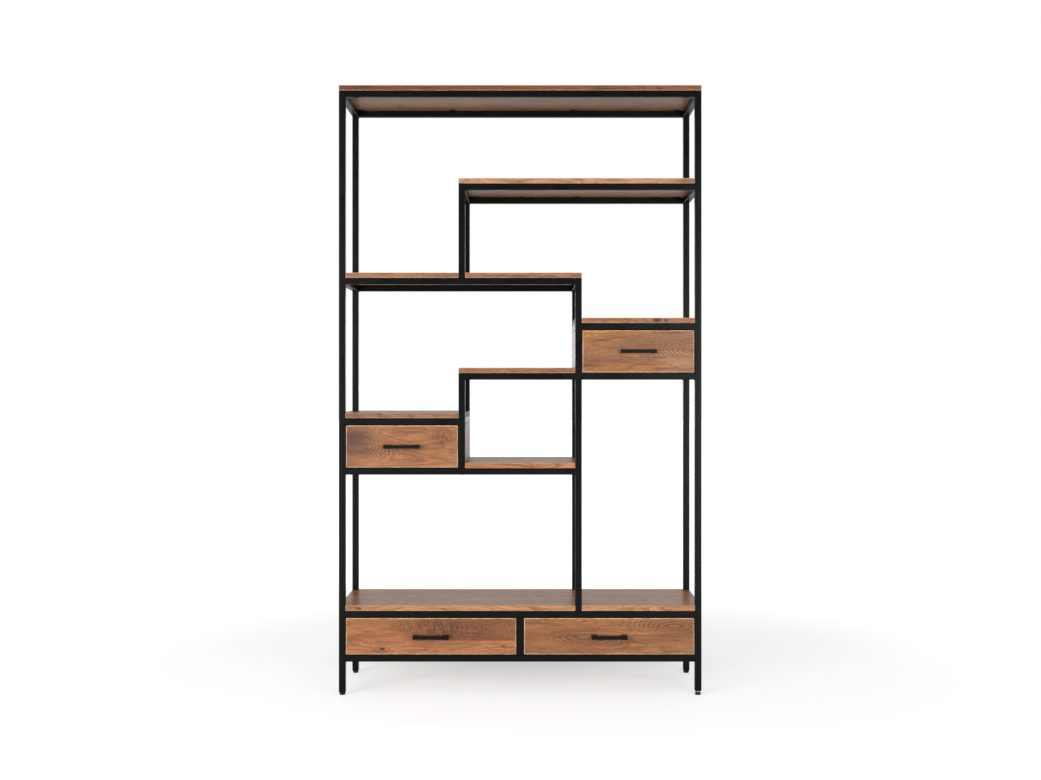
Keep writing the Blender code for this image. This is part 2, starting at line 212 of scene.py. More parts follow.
def zinc_plate(name, dull, bright, roughness):
    """Zinc plate on drawn steel, blue or black passivated.

    The eye sees faint lines along the strip, 0.8 mm apart, and a cloudy shine.
    """
    material, add, shader, place = new_material(name)
    along = (1 / 0.0008, 1 / 0.060, 1 / 0.0008)
    drawn = add("Mapping", {"Vector": place, "Scale": along})
    lines = add("TexNoise", {"Vector": drawn, "Scale": 1.0, "Detail": 2.0})
    cloud = add("TexNoise", {"Vector": place, "Scale": 1 / 0.018, "Detail": 3.0})
    tones = [(0.3, linear(dull)), (0.7, linear(bright))]
    tone = add("ValToRGB", {"Fac": cloud}, stops=tones)
    least, most = roughness - 0.08, roughness + 0.08
    uneven = add(
        "MapRange",
        {"Value": lines, "From Min": 0.3, "From Max": 0.7, "To Min": least, "To Max": most},
    )
    bump = add("Bump", {"Height": lines, "Strength": 0.2, "Distance": 0.00005})
    fill(shader, {"Base Color": tone, "Metallic": 1.0, "Roughness": uneven, "Normal": bump})
    return material


@cache
def moulded_plastic():
    """Polypropylene from a spark-eroded mould: dull black with a fine, even grain of 0.4 mm."""
    material, add, shader, place = new_material("moulded black polypropylene")
    grit = add("TexNoise", {"Vector": place, "Scale": 1 / 0.0004, "Detail": 2.0})
    tones = [(0.35, linear("#111111")), (0.65, linear("#191919"))]
    tone = add("ValToRGB", {"Fac": grit}, stops=tones)
    bump = add("Bump", {"Height": grit, "Strength": 0.4, "Distance": 0.0001})
    fill(shader, {"Base Color": tone, "Normal": bump})
    fill(shader, {"Roughness": 0.55, "Specular IOR Level": 0.3})
    return material


def oval_distance(add, place, centre, half):
    """How far a point is from an oval's centre, where 1 is its half length or half height."""
    size = Vector((1 / half[0], 1 / half[1], 1 / half[1]))
    home = -Vector(a * b for a, b in zip(centre, size))
    near = add("Mapping", {"Vector": place, "Location": home, "Scale": size})
    return add("VectorMath", {0: near}, operation="LENGTH").outputs["Value"]


# Patterns in mango, each a noise stretched along the grain: length, width, detail and distortion
MANGO_PATTERNS = {
    "field": (0.420, 0.080, 2.0, 0.0),
    "wobble": (0.045, 0.011, 2.0, 0.4),
    "drift": (0.230, 0.055, 3.0, 0.0),
    "tone": (0.260, 0.034, 4.0, 0.3),
    "streak": (0.110, 0.0055, 3.0, 0.2),
    "fibre": (0.045, 0.0018, 2.0, 0.0),
    "curl": (0.0050, 0.022, 1.0, 1.2),
    "curly": (0.130, 0.045, 1.0, 0.0),
    "pore": (0.011, 0.0012, 0.0, 0.0),
}
RINGS = 15.0  # growth rings between the field's lowest and highest value
# How dark a ring's wood is, from the start of one year to the start of the next
LATE_WOOD = [(0.0, 0.0), (0.40, 0.06), (0.80, 0.75), (0.90, 1.0), (1.0, 0.0)]


def mango(name, pale, deep, across="Y", turn=0.0, stave=None, offset=0.0, marks=None, lines=1.0):
    """Oiled mango under satin lacquer: flat-sawn staves with long loops of rings, and dark pores.

    The eye sees orange-brown wood that drifts from pale to deep. Ring lines 4 to 10 mm apart
    darken slowly and end sharply, curly figure crosses the grain in places, and low angles show
    a sheen. The grain runs along X, or along Y with turn. marks may hold "eyes" and "curls", each
    (centre, (half length, half height)), where the rings close to an oval and where the grain is
    curly, and "stains", which add a colour, how strongly it shows and, if it stays on one stave,
    that stave's number.
    """
    wood = bpy.context.scene.bookcase.wood
    dark = tuple(wood.grain)
    marks = marks or {}
    material, add, shader, place = new_material(name)
    if turn:
        place = add("Mapping", {"Vector": place, "Rotation": (0.0, 0.0, turn)})

    # Each stave comes from another tree: it samples the wood elsewhere, and differs in tone.
    parts = add("SeparateXYZ", {"Vector": place})
    shifted = add("Math", {0: parts.outputs[across], 1: offset}, operation="ADD")
    counted = add("Math", {0: shifted, 1: stave or wood.stave}, operation="DIVIDE")
    number = add("Math", {0: counted}, operation="FLOOR")
    chance = add("TexWhiteNoise", {"W": number}, noise_dimensions="1D")
    jump = add("VectorMath", {0: chance.outputs["Color"], "Scale": 3.0}, operation="SCALE")
    spot = add("VectorMath", {0: place, 1: jump}, operation="ADD")

    grain = {}
    for key, (run, wide, detail, twist) in MANGO_PATTERNS.items():
        size = (1 / run, 1 / wide, 1 / wide)
        stretched = add("Mapping", {"Vector": spot, "Scale": size})
        inputs = {"Vector": stretched, "Scale": 1.0, "Detail": detail, "Distortion": twist}
        grain[key] = add("TexNoise", {**inputs, "Roughness": 0.5})

    # Growth rings are the level lines of a smooth field, raised to a hill at each eye.
    field = grain["field"]
    faint, strong = 0.20 * lines, 0.95 * lines
    inputs = {"Value": grain["drift"], "From Min": 0.36, "From Max": 0.64}
    strength = add("MapRange", {**inputs, "To Min": faint, "To Max": strong})
    for centre, half in marks.get("eyes", ()):
        away = oval_distance(add, place, centre, half)
        hill = add(
            "MapRange",
            {"Value": away, "From Max": 1.7, "To Min": 0.60, "To Max": 0.0},
            interpolation_type="SMOOTHSTEP",
        )
        field = add("Math", {0: field, 1: hill}, operation="ADD")
        raised = {0: hill, 1: 1.2, 2: strength}
        strength = add("Math", raised, operation="MULTIPLY_ADD", use_clamp=True)
    wobbled = add("Math", {0: grain["wobble"], 1: 0.055, 2: field}, operation="MULTIPLY_ADD")
    count = add("Math", {0: wobbled, 1: RINGS}, operation="MULTIPLY")
    year = add("Math", {0: count}, operation="FRACT")
    greys = [(x, (y, y, y, 1.0)) for x, y in LATE_WOOD]
    ring = add("ValToRGB", {"Fac": year}, stops=greys)
    ring_share = add("Math", {0: ring, 1: strength}, operation="MULTIPLY")

    # The ground tone, and the stains and knots on it
    drawn = {0: chance.outputs["Value"], 1: 0.14, 2: grain["tone"]}
    tone = add("Math", drawn, operation="MULTIPLY_ADD")
    shade = add("ValToRGB", {"Fac": tone}, stops=[(0.40, pale), (0.74, deep)])
    for centre, half, code, share, *only in marks.get("stains", ()):
        away = oval_distance(add, place, centre, half)
        edge = add("Math", {0: grain["streak"], 1: 1.6, 2: away}, operation="MULTIPLY_ADD")
        reach = add(
            "MapRange",
            {"Value": edge, "From Min": 1.2, "From Max": 2.2, "To Min": share, "To Max": 0.0},
            interpolation_type="SMOOTHSTEP",
        )
        if only:
            same = add("Math", {0: number, 1: only[0], 2: 0.1}, operation="COMPARE")
            reach = add("Math", {0: reach, 1: same}, operation="MULTIPLY")
        mixed = {"Factor": reach, 6: shade, 7: linear(code)}
        shade = add("Mix", mixed, data_type="RGBA").outputs[2]
    mixed = {"Factor": ring_share, 6: shade, 7: dark}
    shade = add("Mix", mixed, data_type="RGBA").outputs[2]

    # Curly figure, 5 mm from ripple to ripple, where the grain is wild
    wild = add(
        "MapRange", {"Value": grain["curly"], "From Min": 0.50, "From Max": 0.70, "To Max": 0.5}
    )
    for centre, half in marks.get("curls", ()):
        away = oval_distance(add, place, centre, half)
        here = add(
            "MapRange",
            {"Value": away, "From Min": 0.7, "From Max": 1.3, "To Min": 1.3, "To Max": 0.0},
        )
        wild = add("Math", {0: wild, 1: here}, operation="ADD")
    ripple = add(
        "MapRange",
        {"Value": grain["curl"], "From Min": 0.3, "From Max": 0.7, "To Min": -0.42, "To Max": 0.26},
    )
    factors = [add("Math", {0: ripple, 1: wild, 2: 1.0}, operation="MULTIPLY_ADD")]

    # Fibres and dark mineral streaks
    for key, start, end, first, last in (
        ("fibre", 0.3, 0.7, 0.74, 1.26),
        ("streak", 0.50, 0.68, 1.06, 0.70),
    ):
        inputs = {"Value": grain[key], "From Min": start, "From Max": end}
        factors.append(add("MapRange", {**inputs, "To Min": first, "To Max": last}))
    for factor in factors:
        shade = add("VectorMath", {0: shade, "Scale": factor}, operation="SCALE")

    # Pores: short dark dashes, drawn 1.2 mm wide so that they show
    dash = add("MapRange", {"Value": grain["pore"], "From Min": 0.64, "From Max": 0.74})
    dash_share = add("Math", {0: dash, 1: 0.6}, operation="MULTIPLY")
    mixed = {"Factor": dash_share, 6: shade, 7: dark}
    shade = add("Mix", mixed, data_type="RGBA").outputs[2]
    relief = add("Math", {0: grain["fibre"], 1: dash}, operation="SUBTRACT")
    bump = add("Bump", {"Height": relief, "Strength": 0.18, "Distance": 0.00020})
    uneven = add(
        "MapRange",
        {"Value": grain["fibre"], "From Min": 0.3, "From Max": 0.7, "To Min": 0.30, "To Max": 0.44},
    )
    fill(shader, {"Base Color": shade, "Roughness": uneven, "Normal": bump})
    return material


@cache
def end_grain():
    """Sawn and sanded mango end grain: arcs of rings, peppered with pores and dark with oil."""
    wood = bpy.context.scene.bookcase.wood
    material, add, shader, place = new_material("mango end grain")
    low = add("Mapping", {"Vector": place, "Location": (0.0, 0.03, 0.05)})
    inputs = {"Vector": low, "Scale": 1 / 0.025, "Distortion": 2.5, "Detail": 2.0}
    rings = add("TexWave", {**inputs, "Detail Scale": 1.5}, wave_type="RINGS", rings_direction="X")
    pore = add("TexVoronoi", {"Vector": place, "Scale": 1 / 0.0013})
    dots = add("MapRange", {"Value": pore, "From Min": 0.18, "From Max": 0.05})
    tones = [(0.1, linear("#6E4429")), (0.8, linear("#96653F"))]
    tone = add("ValToRGB", {"Fac": rings}, stops=tones)
    share = add("Math", {0: dots, 1: 0.6}, operation="MULTIPLY")
    mixed = {"Factor": share, 6: tone, 7: tuple(wood.grain)}
    shade = add("Mix", mixed, data_type="RGBA").outputs[2]
    bump = add("Bump", {"Height": dots, "Strength": 0.3, "Distance": -0.0001})
    fill(shader, {"Base Color": shade, "Roughness": 0.55, "Normal": bump})
    return material


@cache
def sanded_arris_and_highlight():
    """Mango where a sanding block has broken the edge, and pale wood shows through the stain; the
    pale colour is also a painted highlight along the arris.
    """
    wood = bpy.context.scene.bookcase.wood
    material, add, shader, place = new_material("mango arris, sanded through")
    patch = add("TexNoise", {"Vector": place, "Scale": 1 / 0.020, "Detail": 3.0})
    tones = [(0.35, linear("#C3936A")), (0.6, tuple(wood.worn_and_highlight))]
    tone = add("ValToRGB", {"Fac": patch}, stops=tones)
    fill(shader, {"Base Color": tone, "Roughness": 0.48})
    return material


@cache
def plywood():
    """Rotary-cut plywood, sanded and sealed: a wide, lazy figure in a pale, dull face."""
    wood = bpy.context.scene.bookcase.wood
    material, add, shader, place = new_material("sealed plywood")
    wide, fine = (1 / 0.400, 1 / 0.070, 1 / 0.070), (1 / 0.050, 1 / 0.0015, 1 / 0.0015)
    stretched = add("Mapping", {"Vector": place, "Scale": wide})
    field = add("TexNoise", {"Vector": stretched, "Scale": 1.0, "Detail": 2.0})
    waves = 6  # between the field's lowest and highest value
    phase = add("Math", {0: field, 1: 2 * math.pi * waves}, operation="MULTIPLY")
    wave = add("Math", {0: phase}, operation="SINE")
    fibre_map = add("Mapping", {"Vector": place, "Scale": fine})
    fibre = add("TexNoise", {"Vector": fibre_map, "Scale": 1.0, "Detail": 2.0})
    total = add("Math", {0: wave, 1: 0.18, 2: fibre}, operation="MULTIPLY_ADD")
    tones = [(0.2, linear("#9C734A")), (0.75, tuple(wood.ply))]
    tone = add("ValToRGB", {"Fac": total}, stops=tones)
    bump = add("Bump", {"Height": fibre, "Strength": 0.2, "Distance": 0.0002})
    fill(shader, {"Base Color": tone, "Roughness": 0.6, "Normal": bump})
    return material


@cache
def frame_coat():
    steel = bpy.context.scene.bookcase.steel
    return powder_coat("black powder coat on tube", steel.coat, 0.30)


@cache
def pull_coat():
    steel = bpy.context.scene.bookcase.steel
    return powder_coat("black powder coat on cast pull", steel.pull_coat, 0.38)


@cache
def zinc():
    return zinc_plate("blue zinc plate on steel", "#A9ADB2", "#C4C7CA", 0.33)


@cache
def black_zinc():
    return zinc_plate("black zinc plate on rolled steel", "#1E1F22", "#2B2C30", 0.40)


# ---- Mesh work --------------------------------------------------------------


def rounded_block(shape, low, high, radius, axis=None, segments=2):
    """A block with its edges rounded: all of them, or only the four along one axis."""
    low, high = Vector(low), Vector(high)
    size = high - low
    matrix = Matrix.Translation((low + high) / 2) @ Matrix.Diagonal((*size, 1.0))
    corners = bmesh.ops.create_cube(shape, size=1.0, matrix=matrix)["verts"]
    edges = list(dict.fromkeys(edge for corner in corners for edge in corner.link_edges))
    if axis is not None:
        runs = [abs(edge.verts[0].co[axis] - edge.verts[1].co[axis]) for edge in edges]
        edges = [edge for edge, run in zip(edges, runs) if run > size[axis] / 2]
    bmesh.ops.bevel(
        shape, geom=edges, offset=radius, segments=segments, profile=0.5, affect="EDGES"
    )


def turned(shape, profile, place, direction=(0.0, 0.0, 1.0), sides=24):
    """A closed turned solid that stands along a direction.

    Its profile is (radius, height) points, from the axis out and back to it.
    """
    turn = Vector(direction).to_track_quat("Z", "Y").to_matrix().to_4x4()
    matrix = Matrix.Translation(Vector(place)) @ turn
    rows = []
    for radius, height in profile:
        if radius == 0.0:
            rows.append([shape.verts.new(matrix @ Vector((0.0, 0.0, height)))])
            continue
        angles = [2 * math.pi * i / sides for i in range(sides)]
        points = [Vector((radius * math.cos(a), radius * math.sin(a), height)) for a in angles]
        rows.append([shape.verts.new(matrix @ point) for point in points])
    for below, above in zip(rows, rows[1:]):
        for i in range(sides):
            j = (i + 1) % sides
            corners = (below, i), (below, j), (above, j), (above, i)
            ring = dict.fromkeys(row[k % len(row)] for row, k in corners)
            shape.faces.new(list(ring))


def pan_screw(shape, place, direction, radius, steps=5):
    """A pan-head screw: a domed head, dimpled in the middle, that stands out along a direction."""
    height = 0.62 * radius
    sunk = -0.0004
    flat, side = 0.45, 0.25  # where the dome ends, as shares of the radius and the height
    profile = [(0.0, sunk), (radius, sunk), (radius, side * height)]
    for i in range(1, steps + 1):
        angle = math.pi / 2 * i / steps
        out, up = flat + (1 - flat) * math.cos(angle), side + (1 - side) * math.sin(angle)
        profile.append((radius * out, height * up))
    profile += [(0.12 * radius, 0.45 * height), (0.0, 0.40 * height)]
    turned(shape, profile, place, direction, 20)


def new_piece(name, shape, body, materials, replaces=(), round_over=0.0, over_material=-1):
    """Makes a shape a smooth-shaded piece that rides on a body, its edges rounded if asked."""
    bmesh.ops.recalc_face_normals(shape, faces=shape.faces)
    mesh = bpy.data.meshes.new(name)
    shape.to_mesh(mesh)
    shape.free()
    for material in materials:
        mesh.materials.append(material)
    mesh.shade_smooth()
    mesh.set_sharp_from_angle(angle=math.radians(40))
    piece = bpy.data.objects.new(name, mesh)
    bpy.context.scene.collection.objects.link(piece)
    if round_over:
        rounding = piece.modifiers.new("Rounded edges", "BEVEL")
        rounding.width = round_over
        rounding.segments = 3
        rounding.limit_method = "ANGLE"
        rounding.angle_limit = math.radians(35)
        rounding.material = over_material
        rounding.use_clamp_overlap = True
    weighted = piece.modifiers.new("Flat faces stay flat", "WEIGHTED_NORMAL")
    weighted.keep_sharp = True
    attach(piece, body)
    if replaces:
        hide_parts(*replaces)
    return piece


def remade(node, ending, body, materials, rounding, end_axis=None):
    """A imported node's own shape, its triangles joined into whole faces and its edges rounded.

    Wood comes as its face, end grain and arris. The faces across end_axis show the end grain.
    """
    shape = bmesh.new()
    shape.from_mesh(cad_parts[node].data)
    bmesh.ops.remove_doubles(shape, verts=shape.verts, dist=0.00002)
    bmesh.ops.dissolve_limit(
        shape, angle_limit=math.radians(2), verts=shape.verts, edges=shape.edges
    )
    if end_axis is not None:
        for face in shape.faces:
            if abs(face.normal[end_axis]) > 0.9:
                face.material_index = 1
    over = -1 if end_axis is None else 2
    new_piece(node + ending, shape, body, materials, [node], rounding, over)


# ---- Welded frames ----------------------------------------------------------


def uprights(x, foot, head):
    """The front and rear posts at one place along the frame."""
    return [(2, (x, y, foot), head - foot) for y in (FRONT, BACK_INNER)]


def rail_pair(left, right, level):
    """The front and back rails of one level."""
    return [(0, (left, y, level), right - left) for y in (FRONT, BACK_INNER)]


def cross(x, level):
    return 1, (x, FRONT_INNER, level), BACK_INNER - FRONT_INNER


def frame_tubes():
    """The tubes of each welded frame, as (axis, low corner, length)."""
    head = TOP_RAIL + TUBE
    main = []
    for name, (x, y) in CORNER_POSTS.items():
        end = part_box("foot_" + name)[0].z + leg_lift(name)
        main.append((2, (x, y, end), head - end))
    main += rail_pair(LEFT_POST + TUBE, RIGHT_POST, TOP_RAIL)
    for x, levels in (
        (LEFT_POST, (LOW_RAIL, LEFT_CELL_RAIL, LEFT_SHELF_RAIL)),
        (RIGHT_POST, (MIDDLE_RAIL, RIGHT_CELL_RAIL, RIGHT_SHELF_RAIL)),
    ):
        main += [cross(x, level) for level in (BASE_RAIL, BOTTOM_RAIL, *levels, TOP_RAIL)]

    right = uprights(DIVIDER, LEFT_SHELF_RAIL + TUBE, RIGHT_SHELF_RAIL + TUBE)
    right += rail_pair(DIVIDER + TUBE, RIGHT_POST, RIGHT_SHELF_RAIL)
    right.append(cross(DIVIDER, RIGHT_SHELF_RAIL))

    centre = uprights(MIDDLE_POST, BOTTOM_RAIL + TUBE, LEFT_SHELF_RAIL + TUBE)
    centre += rail_pair(LEFT_POST + TUBE, MIDDLE_POST, LEFT_SHELF_RAIL)
    for level in (RIGHT_CELL_RAIL, MIDDLE_RAIL):
        centre += rail_pair(MIDDLE_POST + TUBE, RIGHT_POST, level)
    for level in (LEFT_SHELF_RAIL, RIGHT_CELL_RAIL, MIDDLE_RAIL, LOW_RAIL):
        centre.append(cross(MIDDLE_POST, level))

    left = uprights(DIVIDER, LOW_RAIL + TUBE, MIDDLE_RAIL + TUBE)
    left += rail_pair(DIVIDER + TUBE, MIDDLE_POST, MIDDLE_RAIL)
    left += rail_pair(LEFT_POST + TUBE, DIVIDER, LEFT_CELL_RAIL)
    left += rail_pair(LEFT_POST + TUBE, MIDDLE_POST, LOW_RAIL)
    left += [cross(DIVIDER, level) for level in (MIDDLE_RAIL, LEFT_CELL_RAIL, LOW_RAIL)]

    base = []
    for level in (BOTTOM_RAIL, BASE_RAIL):
        base += rail_pair(LEFT_POST + TUBE, RIGHT_POST, level) + [cross(BASE_DIVIDER, level)]
    base.append(cross(MIDDLE_POST, BOTTOM_RAIL))
    base += uprights(BASE_DIVIDER, BASE_RAIL + TUBE, BOTTOM_RAIL)
    base.append(cross(BASE_DIVIDER, (BASE_RAIL + BOTTOM_RAIL) / 2))
    return {
        "main_frame": main,
        "right_shelf_frame": right,
        "centre_frame": centre,
        "left_cell_frame": left,
        "base_frame": base,
    }


CORNER_POSTS = {
    "front_left": (LEFT_POST, FRONT),
    "front_right": (RIGHT_POST, FRONT),
    "rear_left": (LEFT_POST, BACK_INNER),
    "rear_right": (RIGHT_POST, BACK_INNER),
}
PAD_HEIGHT = 0.008
LOCK_NUT_HEIGHT = 0.0045


def leg_lift(name):
    """How far a leg ends above the floor: over its pad, and at the front right over a lock nut."""
    return PAD_HEIGHT + GAP + (LOCK_NUT_HEIGHT if name == "front_right" else 0.0)


def weld_bead(shape, start, end, radius, steps=14, dabs=5, sides=8):
    """A fillet weld laid in one pass: a round bead that swells and sinks with each dab."""
    start, end = Vector(start), Vector(end)
    run = end - start
    side = run.normalized()
    up = Vector((0.0, 0.0, 1.0))
    out = side.cross(up)
    rings = []
    for i in range(steps + 1):
        share = i / steps
        taper = math.sqrt(math.sin(math.pi * min(max(share, 0.04), 0.96)))
        ripple = 1.0 + 0.16 * math.cos(2 * math.pi * share * dabs)
        size = radius * (0.55 + 0.45 * taper) * ripple
        centre = start + run * share
        ring = []
        for k in range(sides):
            angle = 2 * math.pi * k / sides
            spoke = out * math.cos(angle) + up * math.sin(angle)
            ring.append(shape.verts.new(centre + spoke * size))
        rings.append(ring)
    for below, above in zip(rings, rings[1:]):
        for k in range(sides):
            j = (k + 1) % sides
            shape.faces.new([below[k], below[j], above[j], above[k]])
    shape.faces.new(rings[0][::-1])
    shape.faces.new(rings[-1])


class BOOKCASE_OT_frames(bpy.types.Operator):
    """Makes the five welded frames of square tube, with the fillet welds under their rails"""

    bl_idname = "bookcase.frames"
    bl_label = "Welded frames"

    def execute(self, context):
        steel = context.scene.bookcase.steel
        bite = 0.0002  # how far a rail runs into the posts that it is welded to
        inset = steel.corner_radius + 0.001  # from a rail's corner to the end of its weld
        for name, tubes in frame_tubes().items():
            shape, welds = bmesh.new(), bmesh.new()
            for axis, low, run in tubes:
                near, far = Vector(low), Vector(low) + Vector((TUBE, TUBE, TUBE))
                far[axis] = low[axis] + run
                if axis != 2:
                    near[axis] -= bite
                    far[axis] += bite
                    across = 1 - axis
                    for end in (low[axis], low[axis] + run):
                        a, b = Vector(low), Vector(low)
                        a[axis] = b[axis] = end
                        a[across] += inset
                        b[across] += TUBE - inset
                        weld_bead(welds, a, b, steel.bead)
                rounded_block(shape, near, far, steel.corner_radius, axis, segments=3)
            new_piece(name + "_tubes", shape, CASE, [frame_coat()], [name])
            new_piece(name + "_welds", welds, CASE, [frame_coat()])
        return {"FINISHED"}


# ---- Boards and panels ------------------------------------------------------

# Pale and deep tone of each board, as its front edge shows them
BOARD_TONES = {
    "top_board": ("#BC8862", "#A0704E"),
    "right_shelf": ("#CF966B", "#B88156"),
    "left_shelf": ("#AB774E", "#93633F"),
    "right_cell_lid": ("#B07346", "#8E5630"),
    "middle_shelf": ("#AA6F46", "#8E5833"),
    "left_cell_lid": ("#9E6B48", "#7F5435"),
    "low_shelf": ("#CC8148", "#AE6937"),
    "bottom_shelf": ("#CC8D60", "#B17549"),
}

# How far the edges of the panels are rounded: sawn wood, and plywood
SAWN_ARRIS = 0.0008
PLY_ARRIS = 0.0004

# Stains and knots of a board: right of its left end, half length, half height, colour and strength
BOARD_STAINS = {
    "top_board": [(0.10, 0.50, 0.10, "#6C2F0A", 0.97), (0.75, 0.60, 0.10, "#84461A", 0.85)],
    "right_cell_lid": [
        (0.248, 0.014, 0.007, "#2E180D", 1.0),
        (0.276, 0.007, 0.004, "#2E180D", 0.9),
    ],
    "bottom_shelf": [(0.060, 0.009, 0.005, "#3A2014", 0.85)],
}


class BOOKCASE_OT_boards(bpy.types.Operator):
    """Makes the eight mango boards, cut round the posts, with end grain and sanded arrises that
    carry a painted highlight
    """

    bl_idname = "bookcase.boards"
    bl_label = "Mango boards"

    def execute(self, context):
        wood = context.scene.bookcase.wood
        for i, (node, (pale, deep)) in enumerate(BOARD_TONES.items()):
            words = node.replace("_", " ")
            low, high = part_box(node)
            stains = [
                ((low.x + along, low.y, (low.z + high.z) / 2), (half_x, half_z), code, share)
                for along, half_x, half_z, code, share in BOARD_STAINS.get(node, ())
            ]
            face = mango(
                f"oiled mango, {words}",
                linear(pale),
                linear(deep),
                offset=0.1 + 0.37 * i,
                marks={"stains": stains},
                lines=0.8,
            )
            finish = [face, end_grain(), sanded_arris_and_highlight()]
            remade(node, "_wood", CASE, finish, wood.arris, 0)
        return {"FINISHED"}


class BOOKCASE_OT_panels(bpy.types.Operator):
    """Makes the side and back panels round the drawers; the fixings step makes the screws that hold
    the backs
    """

    bl_idname = "bookcase.panels"
    bl_label = "Panels"

    def execute(self, context):
        tones = linear("#A9795A"), linear("#7C5339")
        side = mango("oiled mango, side panels", *tones, "Z", turn=math.pi / 2, lines=0.7)
        finish = [side, end_grain(), sanded_arris_and_highlight()]
        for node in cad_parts:
            if node.endswith(("_outer_panel", "_inner_panel")):
                remade(node, "_wood", CASE, finish, SAWN_ARRIS, 1)
            elif node.endswith("_back_panel"):
                remade(node, "_ply", CASE, [plywood()], PLY_ARRIS)
        return {"FINISHED"}


# ---- Drawers ----------------------------------------------------------------

# How far edges are rounded: a drawer's plywood bottom, a cast pull, and slides rolled from strip
BOTTOM_ARRIS = 0.0003
CAST_EDGE = 0.0007
ROLLED_EDGE = 0.0005

SLIDER_CLEAR = 0.003  # that nails keep from a slider
# The screws into a drawer's front: in from the box's ends, up from its bottom, down from its top
SCREW_IN, SCREW_UP, SCREW_DOWN = 0.035, 0.020, 0.014
PULL_FOOT = 0.009  # from a pull's end to the screw in its foot
PULL_SCREW = 0.0046  # radius of that screw's head
# (radius, height) points of a nail's flat head, from the axis out and back
NAIL_HEAD = [(0.0, -0.0005), (0.0017, -0.0005), (0.0017, 0.00008), (0.0013, 0.0002), (0.0, 0.00022)]


class BOOKCASE_OT_drawers(bpy.types.Operator):
    """Makes each drawer's front, box, bottom and pull"""

    bl_idname = "bookcase.drawers"
    bl_label = "Drawers"

    def execute(self, context):
        bookcase = context.scene.bookcase
        tones = linear("#C7A078"), linear("#A47B55")
        inner = mango("sanded mango, drawer boxes", *tones, "Z", lines=0.5)
        for cell in CELLS:
            body = cell + "_drawer"
            low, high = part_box(body + "_front")
            middle = (low + high) / 2
            pale, deep, joint = FRONT_TONES[cell]
            marks = {
                kind: [
                    ((middle.x + dx, low.y, middle.z + dz), (half_x, half_z), *rest)
                    for dx, dz, half_x, half_z, *rest in rows
                ]
                for kind, rows in FRONT_MARKS[cell].items()
            }
            face = mango(
                f"oiled mango, {cell.replace('_', ' ')} front",
                linear(pale),
                linear(deep),
                across="Z",
                stave=0.9,  # wider than a front, so that only the glue line divides it
                offset=-(low.z + joint),
                marks=marks,
                lines=0.65,
            )
            finish = [face, end_grain(), sanded_arris_and_highlight()]
            arris = bookcase.wood.front_arris
            remade(body + "_front", "_wood", body, finish, arris, 0)
            self.make_box(body, inner, bookcase.drawer)
            remade(body + "_bottom", "_ply", body, [plywood()], BOTTOM_ARRIS)
            remade(body + "_pull", "_cast", body, [pull_coat()], CAST_EDGE)
        return {"FINISHED"}

    def make_box(self, body, inner, drawer):
        """Four boards, nailed at the corners, with the sides running past the front and back."""
        low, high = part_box(body + "_box")
        wall = drawer.wall
        shape = bmesh.new()
        for x in (low.x, high.x - wall):
            rounded_block(shape, (x, low.y, low.z), (x + wall, high.y, high.z), SAWN_ARRIS)
        for y in (low.y, high.y - wall):
            near, far = (low.x + wall, y, low.z), (high.x - wall, y + wall, high.z)
            rounded_block(shape, near, far, SAWN_ARRIS)
        new_piece(body + "_box_wood", shape, body, [inner], [body + "_box"])

        # Nail heads stay clear of the slider, which is screwed to the middle of each side.
        slider_low, slider_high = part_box(body.replace("_drawer", "_slider_left"))
        nails = bmesh.new()
        for i in range(drawer.nails):
            z = low.z + (high.z - low.z) * (i + 0.5) / drawer.nails
            if slider_low.z - SLIDER_CLEAR < z < slider_high.z + SLIDER_CLEAR:
                continue
            for y in (low.y + wall / 2, high.y - wall / 2):
                for x, way in ((low.x, -1.0), (high.x, 1.0)):
                    turned(nails, NAIL_HEAD, (x, y, z), (way, 0.0, 0.0), 16)
        new_piece(body + "_nails", nails, body, [zinc()])

        # Inside: screws into the drawer front, and the two machine screws of the pull
        screws = bmesh.new()
        inside, seat = (0.0, 1.0, 0.0), low.y + wall
        for x in (low.x + SCREW_IN, high.x - SCREW_IN):
            for z in (low.z + SCREW_UP, high.z - SCREW_DOWN):
                pan_screw(screws, (x, seat, z), inside, drawer.screw / 2)
        pull_low, pull_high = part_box(body + "_pull")
        for x in (pull_low.x + PULL_FOOT, pull_high.x - PULL_FOOT):
            pan_screw(screws, (x, seat, (pull_low.z + pull_high.z) / 2), inside, PULL_SCREW)
        new_piece(body + "_front_screws", screws, body, [zinc()])


# Pale and deep tone of each drawer front, and the height of its glue line over its lower edge
FRONT_TONES = {
    "right_cell": ("#A66E42", "#865430", 0.2),
    "left_cell": ("#B27449", "#9A633B", 0.2),
    "base_left": ("#B57549", "#985E34", 0.042),
    "base_right": ("#B07444", "#8D572F", 0.2),
}

